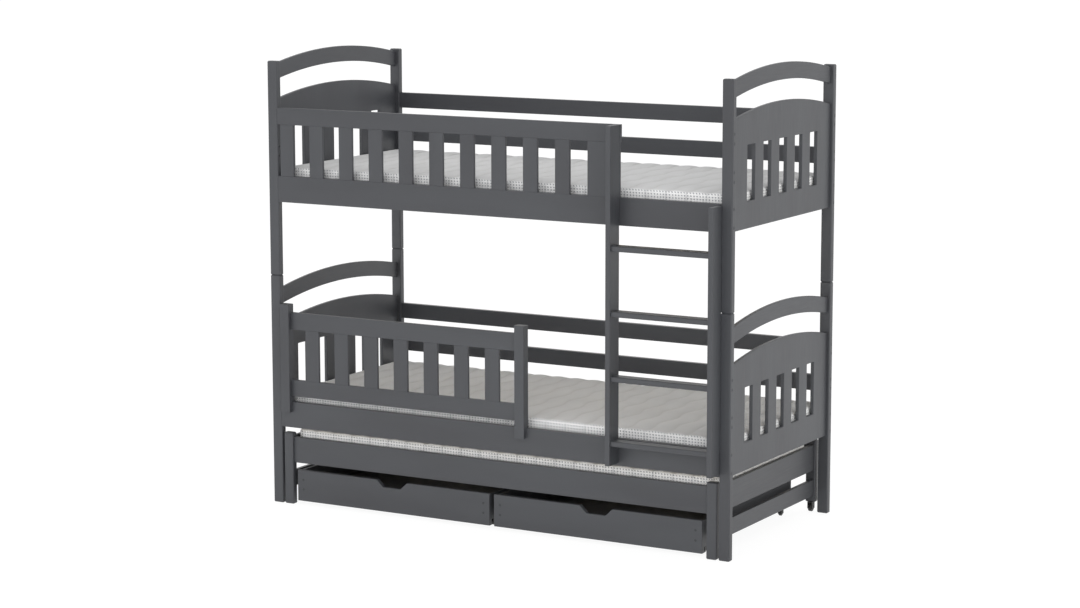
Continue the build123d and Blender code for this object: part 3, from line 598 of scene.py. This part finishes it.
# %% [markdown]
# ### The cover's cloth
#
# From the bed's side the cover is a soft white-grey knit, darkened with painted shade towards
# each quilting seam, and its sides show rows of small holes, darkened inside with painted shade.
# They are far too many to model, so they are a cell texture with no randomness, laid on the sides
# along the border. The holes are drawn larger and wider apart, 12 mm, than in a real spacer mesh,
# so that they show from the camera. Painted shade also darkens the sides along each seam's fold.

# %% Knit and spacer mesh
hole_pitch, hole_row_pitch, hole_depth = 12 * MM, 10 * MM, 0.5 * MM
hole_window = 0.2, 0.34
knit_pitch, knit_height = 1.6 * MM, 0.15 * MM
shade_pitch = 240 * MM
knit_tones = colour("EAEAEA"), colour("E0E0E0")
rib_tone, rib_strength = colour("CFCFCF"), 0.1
# Painted shade: the knit turns darker towards each quilting seam, in the hollows between puffs.
seam_shade_tone, seam_shade_window, seam_shade_strength = colour("B4B3B0"), (0.4, 1), 0.12
# Painted shade: the holes of the white spacer mesh are coloured darker.
mesh_tone, hole_shade_tone = colour("FFFFFF"), colour("ABADB0")
# Painted shade: the spacer mesh is coloured darker along the fold at each side seam.
fold_shade_tone, fold_shade_window, fold_shade_strength = colour("BEBFC1"), (0.8, 1), 0.5
side_window = 0.4, 0.6


def hole_pattern(tree, side_share):
    """1 in each hole of the spacer mesh, 0 between holes and off the sides."""
    place = put(tree, "ShaderNodeTexCoord").outputs["Object"]
    axes = put(tree, "ShaderNodeSeparateXYZ", {"Vector": place}).outputs
    around = put(tree, "ShaderNodeMath", {0: axes["X"], 1: axes["Y"]}, operation="ADD")
    place = put(tree, "ShaderNodeCombineXYZ", {"X": around, "Y": axes["Z"]})
    place = put(tree, "ShaderNodeMapping", {
        "Vector": place, "Scale": (1 / hole_pitch, 1 / hole_row_pitch, 1)})
    cells = put(tree, "ShaderNodeTexVoronoi", {"Vector": place, "Scale": 1.0, "Randomness": 0.0},
                voronoi_dimensions="2D")
    hole = put(tree, "ShaderNodeMapRange", {
        "Value": cells, "From Min": hole_window[0], "From Max": hole_window[1],
        "To Min": 1, "To Max": 0})
    side = put(tree, "ShaderNodeMapRange", {
        "Value": side_share, "From Min": side_window[0], "From Max": side_window[1]})
    return put(tree, "ShaderNodeMath", {0: hole, 1: side}, operation="MULTIPLY")


def mattress_cloth():
    """White-grey knit on the top, spacer mesh with rows of holes on the sides."""
    # Cotton-like yarn: dull, a little fuzzy at grazing angles, finely ribbed, uneven in tone.
    material, tree, shader = new_finish("mattress_knit_and_spacer_mesh", Roughness=0.92,
                                        Sheen_Weight=0.12, Sheen_Roughness=0.5)
    side = put(tree, "ShaderNodeAttribute", attribute_name="side_share").outputs["Fac"]
    seam = put(tree, "ShaderNodeAttribute", attribute_name="seam_share").outputs["Fac"]
    hole = hole_pattern(tree, side)
    ribs = laid(tree, "ShaderNodeTexNoise",
                (1 / knit_pitch, 1 / (3 * knit_pitch), 1 / knit_pitch), Detail=1.0)
    shade = laid(tree, "ShaderNodeTexNoise", every_way(shade_pitch), Detail=3.0)
    knit = tinted(tree, shade, noise_window, *knit_tones)
    knit = tinted(tree, ribs, noise_window, knit, rib_tone, rib_strength)
    # Painted shade towards the quilting seams.
    knit = tinted(tree, seam, seam_shade_window, knit, seam_shade_tone, seam_shade_strength)
    # Painted shade along the folds at the side seams.
    spacer = tinted(tree, seam, fold_shade_window, mesh_tone, fold_shade_tone, fold_shade_strength)
    # Painted shade inside the holes.
    spacer = tinted(tree, hole, (0, 1), spacer, hole_shade_tone)
    wire(tree, shader, {"Base Color": tinted(tree, side, side_window, knit, spacer),
                        "Normal": raised(tree, (hole, -hole_depth), (ribs, knit_height))})
    return material


cover_cloth = mattress_cloth()
print("finish", cover_cloth.name)

# %% Dress the mattresses, and let each ride its body
for mattress, body, part in ((upper_mattress, "bed", "mattress_upper"),
                             (lower_mattress, "bed", "mattress_lower"),
                             (trundle_mattress, "trundle", "mattress_trundle")):
    mattress.data.materials.clear()
    mattress.data.materials.append(cover_cloth)
    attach(mattress, body)
    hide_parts(part)
    print(mattress.name, "rides", body)

# %% [markdown]
# ### Quilting stitches
#
# A quilting machine leaves short straight stitches in the bottom of each seam. There are
# thousands, so a Geometry Nodes tree lays them: it takes the seam lines as curves, resamples them
# to the stitch pitch, and sets one bowed thread on each point, turned along the seam.

# %% A tree that sews along any line
stitch_pitch = 7 * MM
stitch_length = 5.2 * MM
thread_radius = 0.35 * MM
bow_rise = 3.0


def new_tree(name, **inputs):
    """An empty Geometry Nodes tree with named inputs."""
    tree = bpy.data.node_groups.new(name, "GeometryNodeTree")
    tree.interface.new_socket("Geometry", in_out="INPUT", socket_type="NodeSocketGeometry")
    tree.interface.new_socket("Geometry", in_out="OUTPUT", socket_type="NodeSocketGeometry")
    for label, kind in inputs.items():
        tree.interface.new_socket(label.replace("_", " "), in_out="INPUT", socket_type=kind)
    return tree, put(tree, "NodeGroupInput").outputs


def stitching_tree():
    """Bowed threads on the points of resampled lines."""
    tree, given = new_tree("quilting_stitches", Stitch_Pitch="NodeSocketFloat",
                           Stitch_Length="NodeSocketFloat", Thread_Radius="NodeSocketFloat",
                           Thread="NodeSocketMaterial")
    lines = put(tree, "GeometryNodeMeshToCurve", {"Mesh": given["Geometry"]})
    spots = put(tree, "GeometryNodeResampleCurve", {
        "Curve": lines, "Length": given["Stitch Pitch"]}, mode="LENGTH")
    half = put(tree, "ShaderNodeMath", {0: given["Stitch Length"], 1: 0.5}, operation="MULTIPLY")
    back = put(tree, "ShaderNodeMath", {0: half, 1: -1.0}, operation="MULTIPLY")
    rise = put(tree, "ShaderNodeMath", {0: given["Thread Radius"], 1: bow_rise},
               operation="MULTIPLY")
    bow = put(tree, "GeometryNodeCurveQuadraticBezier", {
        "Resolution": 3,
        "Start": put(tree, "ShaderNodeCombineXYZ", {"X": back}),
        "Middle": put(tree, "ShaderNodeCombineXYZ", {"Z": rise}),
        "End": put(tree, "ShaderNodeCombineXYZ", {"X": half})})
    ring = put(tree, "GeometryNodeCurvePrimitiveCircle", {
        "Resolution": 4, "Radius": given["Thread Radius"]})
    thread = put(tree, "GeometryNodeCurveToMesh", {"Curve": bow, "Profile Curve": ring})
    tangent = put(tree, "GeometryNodeInputTangent")
    turn = put(tree, "FunctionNodeAlignRotationToVector", {"Vector": tangent}, axis="X")
    sewn = put(tree, "GeometryNodeInstanceOnPoints", {
        "Points": spots, "Instance": thread, "Rotation": turn})
    real = put(tree, "GeometryNodeRealizeInstances", {"Geometry": sewn})
    named = put(tree, "GeometryNodeSetMaterial", {"Geometry": real, "Material": given["Thread"]})
    put(tree, "NodeGroupOutput", {"Geometry": named})
    return tree


def grow(name, base, tree, body, slot, **inputs):
    """Run a tree on a base mesh, keep the result as one plain mesh that rides a body."""
    grower = bpy.data.objects.new(name, base)
    scene.collection.objects.link(grower)
    modifier = grower.modifiers.new(name, "NODES")
    modifier.node_group = tree
    for item in tree.interface.items_tree:
        label = item.name.replace(" ", "_")
        if item.in_out == "INPUT" and label in inputs:
            modifier[item.identifier] = inputs[label]
    evaluated = grower.evaluated_get(bpy.context.evaluated_depsgraph_get())
    grown = bpy.data.meshes.new_from_object(evaluated)
    grower.modifiers.remove(modifier)
    grower.data = grown
    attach(grower, body)
    print(name, "faces", len(grown.polygons))
    return grower


stitching = stitching_tree()
print("tree", stitching.name, "inputs", [i.name for i in stitching.interface.items_tree])

# %% Thread
thread_tones = colour("DCDBD8"), colour("C8C6C2")
twist_pitch = 0.4 * MM


def quilting_thread():
    """Polyester thread, brighter than the knit."""
    # Bonded filament: a soft gloss, and a tone that changes along the twist.
    material, tree, shader = new_finish("quilting_thread", Roughness=0.55)
    twist = laid(tree, "ShaderNodeTexNoise", every_way(twist_pitch), Detail=1.0)
    wire(tree, shader, {"Base Color": tinted(tree, twist, noise_window, *thread_tones)})
    return material


thread = quilting_thread()
print("finish", thread.name)

# %% Sew the seams of each mattress
probe_height = 50 * MM


def seam_lines(name, mattress, grid, drop=0):
    """Lines of points along the quilting, just on the mattress's surface."""
    lines = bpy.data.meshes.new(name)
    points, edges = [], []
    bpy.context.view_layer.update()
    for channel in range(1, grid.channels):
        column = channel * columns_per_channel
        for row in range(1, grid.rows):
            place, _ = grid.top_point(column, row)
            above = place + Vector((0, 0, probe_height + drop))
            hit, spot, _, _ = mattress.ray_cast(above, (0, 0, -1))
            if row > 1:
                edges.append((len(points) - 1, len(points)))
            points.append(spot if hit else place)
    lines.from_pydata(points, edges, [])
    return lines


for mattress, grid, body, level in ((upper_mattress, upper_grid, "bed", 0),
                                    (lower_mattress, upper_grid, "bed", drop),
                                    (trundle_mattress, trundle_grid, "trundle", 0)):
    name = mattress.name.replace("quilted_mattress", "quilting_stitches")
    grow(name, seam_lines(name, mattress, grid, level), stitching, body, "mattress_cover",
         Stitch_Pitch=stitch_pitch, Stitch_Length=stitch_length, Thread_Radius=thread_radius,
         Thread=thread)

# %% [markdown]
# ## Screw plugs on the drawer fronts
#
# Each drawer front is screwed to the sides of its box, and four plastic plugs hide the screws. A
# plug is a low dome with a flat rim. One is described once in a tree, as a disc whose points are
# lowered by a rule, and set on the four places, so a change of the rule changes all eight.

# %% Plugs by Geometry Nodes
plug_radius = 4.8 * MM
plug_height = 1.3 * MM
plug_rows = 62 * MM, 99.5 * MM
plug_half_span = 404 * MM
plug_seat = 0.5 * MM
rim_share = 0.85
rim_fall = 0.62


def plug_tree():
    """A domed plug with a flat rim on every point, facing out of the drawer front."""
    tree, given = new_tree("screw_plugs", Plug_Radius="NodeSocketFloat",
                           Plug_Height="NodeSocketFloat", Plastic="NodeSocketMaterial")
    disc = put(tree, "GeometryNodeMeshCylinder", {
        "Vertices": 32, "Side Segments": 1, "Fill Segments": 6,
        "Radius": given["Plug Radius"], "Depth": given["Plug Height"]})
    place = put(tree, "GeometryNodeInputPosition")
    axes = put(tree, "ShaderNodeSeparateXYZ", {"Vector": place}).outputs
    flat = put(tree, "ShaderNodeCombineXYZ", {"X": axes["X"], "Y": axes["Y"]})
    reach = put(tree, "ShaderNodeVectorMath", {0: flat}, operation="LENGTH")
    share = put(tree, "ShaderNodeMath", {0: reach, 1: given["Plug Radius"]}, operation="DIVIDE")
    fall = put(tree, "ShaderNodeMapRange", {
        "Value": share, "From Max": rim_share, "To Max": rim_fall},
        interpolation_type="SMOOTHERSTEP")
    top = put(tree, "ShaderNodeMath", {0: axes["Z"], 1: 0.0}, operation="GREATER_THAN")
    sink = put(tree, "ShaderNodeMath", {0: fall, 1: given["Plug Height"]}, operation="MULTIPLY")
    sink = put(tree, "ShaderNodeMath", {0: sink, 1: top}, operation="MULTIPLY")
    sink = put(tree, "ShaderNodeMath", {0: sink, 1: -1.0}, operation="MULTIPLY")
    lowered = put(tree, "ShaderNodeCombineXYZ", {"Z": sink})
    dome = put(tree, "GeometryNodeSetPosition", {"Geometry": disc, "Offset": lowered})
    plugs = put(tree, "GeometryNodeInstanceOnPoints", {
        "Points": given["Geometry"], "Instance": dome, "Rotation": (math.pi / 2, 0, 0)})
    real = put(tree, "GeometryNodeRealizeInstances", {"Geometry": plugs})
    named = put(tree, "GeometryNodeSetMaterial", {"Geometry": real, "Material": given["Plastic"]})
    put(tree, "NodeGroupOutput", {"Geometry": named})
    return tree


plugs = plug_tree()
for side in ("left", "right"):
    low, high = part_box(f"drawer_{side}_front")
    middle = (low.x + high.x) / 2
    base = bpy.data.meshes.new(f"plug_places_{side}")
    base.from_pydata([(middle + end * plug_half_span, low.y + plug_seat - plug_height / 2, height)
                      for end in (-1, 1) for height in plug_rows], [], [])
    grow(f"drawer_{side}_screw_plugs", base, plugs, f"drawer_{side}", "grey_plastic",
         Plug_Radius=plug_radius, Plug_Height=plug_height, Plastic=cap_plastic)

# %% [markdown]
# ## Floor and light
#
# The bed was pictured in a white studio: light comes from all round, and much of it from the
# floor. A ring of softboxes could do it, but a sky that is brighter near the horizon and overhead
# gives the same even light with less noise. Three large lamps add what it lacks: brightness on the
# floor, and a little more from the right. The camera sees the floor and the sky as white, while
# the floor still keeps a faint shadow.

# %% A white floor
floor_reach = 70
floor_white = 0.9
seen_floor_white = 0.14
seen_floor_glow = 0.93


def seen_or_mirrored(tree):
    """1 for what the camera sees, straight, in a gloss or through glass, else 0."""
    ray = put(tree, "ShaderNodeLightPath").outputs
    either = put(tree, "ShaderNodeMath", {0: ray["Is Camera Ray"], 1: ray["Is Glossy Ray"]},
                 operation="MAXIMUM")
    return put(tree, "ShaderNodeMath", {0: either, 1: ray["Is Transmission Ray"]},
               operation="MAXIMUM")


def studio_floor_finish():
    """A white floor that reads as pure white to the camera, apart from the bed's shadow."""
    # Matt white vinyl: it sends most light back up under the bed.
    material = bpy.data.materials.new("studio_floor")
    material.use_nodes = True
    tree = material.node_tree
    tree.nodes.clear()
    white = put(tree, "ShaderNodeBsdfDiffuse", {"Color": (*(floor_white,) * 3, 1)})
    shadowed = put(tree, "ShaderNodeBsdfDiffuse", {"Color": (*(seen_floor_white,) * 3, 1)})
    glow = put(tree, "ShaderNodeEmission", {"Color": (1, 1, 1, 1), "Strength": seen_floor_glow})
    seen = put(tree, "ShaderNodeAddShader", {0: shadowed, 1: glow})
    look = put(tree, "ShaderNodeMixShader", {0: seen_or_mirrored(tree), 1: white, 2: seen})
    put(tree, "ShaderNodeOutputMaterial", {"Surface": look})
    return material


floor_mesh = bpy.data.meshes.new("floor")
corners = [(-floor_reach, -floor_reach, 0), (floor_reach, -floor_reach, 0),
           (floor_reach, floor_reach, 0), (-floor_reach, floor_reach, 0)]
floor_mesh.from_pydata(corners, [], [(0, 1, 2, 3)])
floor_mesh.materials.append(studio_floor_finish())
floor = bpy.data.objects.new("floor", floor_mesh)
scene.collection.objects.link(floor)
print("floor", 2 * floor_reach, "m wide")

# %% A dim sky, bright near the horizon and overhead, and brightest in front
sky_level = 0.32
band_gain = 1.25
band_edges = 0.15, 0.85
band_side_share = 0.35
band_front_share = 0.92
band_lean = 0.2, -0.3, 0
patch_gain = 0.82
patch_edges = 0.75, 0.9


def sky_strength(tree):
    """The light that comes from each direction of the sky."""
    way = put(tree, "ShaderNodeTexCoord").outputs["Generated"]
    axes = put(tree, "ShaderNodeSeparateXYZ", {"Vector": way}).outputs
    low = put(tree, "ShaderNodeMapRange", {
        "Value": axes["Z"], "From Min": band_edges[0], "From Max": band_edges[1],
        "To Min": band_gain, "To Max": 0})
    across = put(tree, "ShaderNodeMath", {0: axes["Y"]}, operation="ABSOLUTE")
    across = put(tree, "ShaderNodeMapRange", {
        "Value": across, "To Min": band_side_share, "To Max": band_front_share})
    lean = put(tree, "ShaderNodeVectorMath", {0: way, 1: band_lean}, operation="DOT_PRODUCT")
    share = put(tree, "ShaderNodeMath", {0: across, 1: lean}, operation="ADD")
    patch = put(tree, "ShaderNodeMapRange", {
        "Value": axes["Z"], "From Min": patch_edges[0], "From Max": patch_edges[1],
        "To Min": sky_level, "To Max": sky_level + patch_gain})
    return put(tree, "ShaderNodeMath", {0: low, 1: share, 2: patch}, operation="MULTIPLY_ADD")


def studio_sky():
    """The sky as a light, seen as plain white."""
    world = bpy.data.worlds.new("studio")
    world.use_nodes = True
    tree = world.node_tree
    tree.nodes.clear()
    light = put(tree, "ShaderNodeBackground", {
        "Color": (1, 1, 1, 1), "Strength": sky_strength(tree)})
    white = put(tree, "ShaderNodeBackground", {"Color": (1, 1, 1, 1), "Strength": 1.0})
    sky = put(tree, "ShaderNodeMixShader", {0: seen_or_mirrored(tree), 1: light, 2: white})
    put(tree, "ShaderNodeOutputWorld", {"Surface": sky})
    return world


scene.world = studio_sky()
print("sky", sky_level, "plus a band of", band_gain, "and overhead", patch_gain)

# %% Lamps that wash the floor, and one softbox
wash_height = 0.5
wash_angle = 60
wash_brightness = 0.5
front_wash = (-4.5, -6.4), (4.5, -0.8)
right_wash = (1.4, -0.6), (6.2, 3.6)
softbox_place = 5.5, 0.4, 1.1
softbox_target = 0.9, 0.2, 0.9
softbox_size = 3.0, 1.8
softbox_power = 16
softbox_tint = 1, 0.995, 0.8


def soft_lamp(name, place, target, size, power, angle=180, tint=(1, 1, 1)):
    """A large rectangular lamp that the camera doesn't see."""
    light = bpy.data.lights.new(name, "AREA")
    light.shape = "RECTANGLE"
    light.size, light.size_y = size
    light.energy = power
    light.spread = math.radians(angle)
    light.color = tint
    lamp = bpy.data.objects.new(name, light)
    aim(lamp, place, Vector(target) - Vector(place))
    lamp.visible_camera = False
    lamp.visible_glossy = False
    scene.collection.objects.link(lamp)


def floor_wash(name, low, high):
    """Light a rectangle of floor from just above it, so that the bed gets only what bounces."""
    middle = (Vector(low) + Vector(high)) / 2
    size = high[0] - low[0], high[1] - low[1]
    power = wash_brightness * math.pi * size[0] * size[1]
    soft_lamp(name, (middle.x, middle.y, wash_height), (middle.x, middle.y, 0), size, power,
              wash_angle)


floor_wash("floor_wash_front", *front_wash)
floor_wash("floor_wash_right", *right_wash)
soft_lamp("right_softbox", softbox_place, softbox_target, softbox_size, softbox_power,
          tint=softbox_tint)
scene.view_settings.view_transform = "Standard"
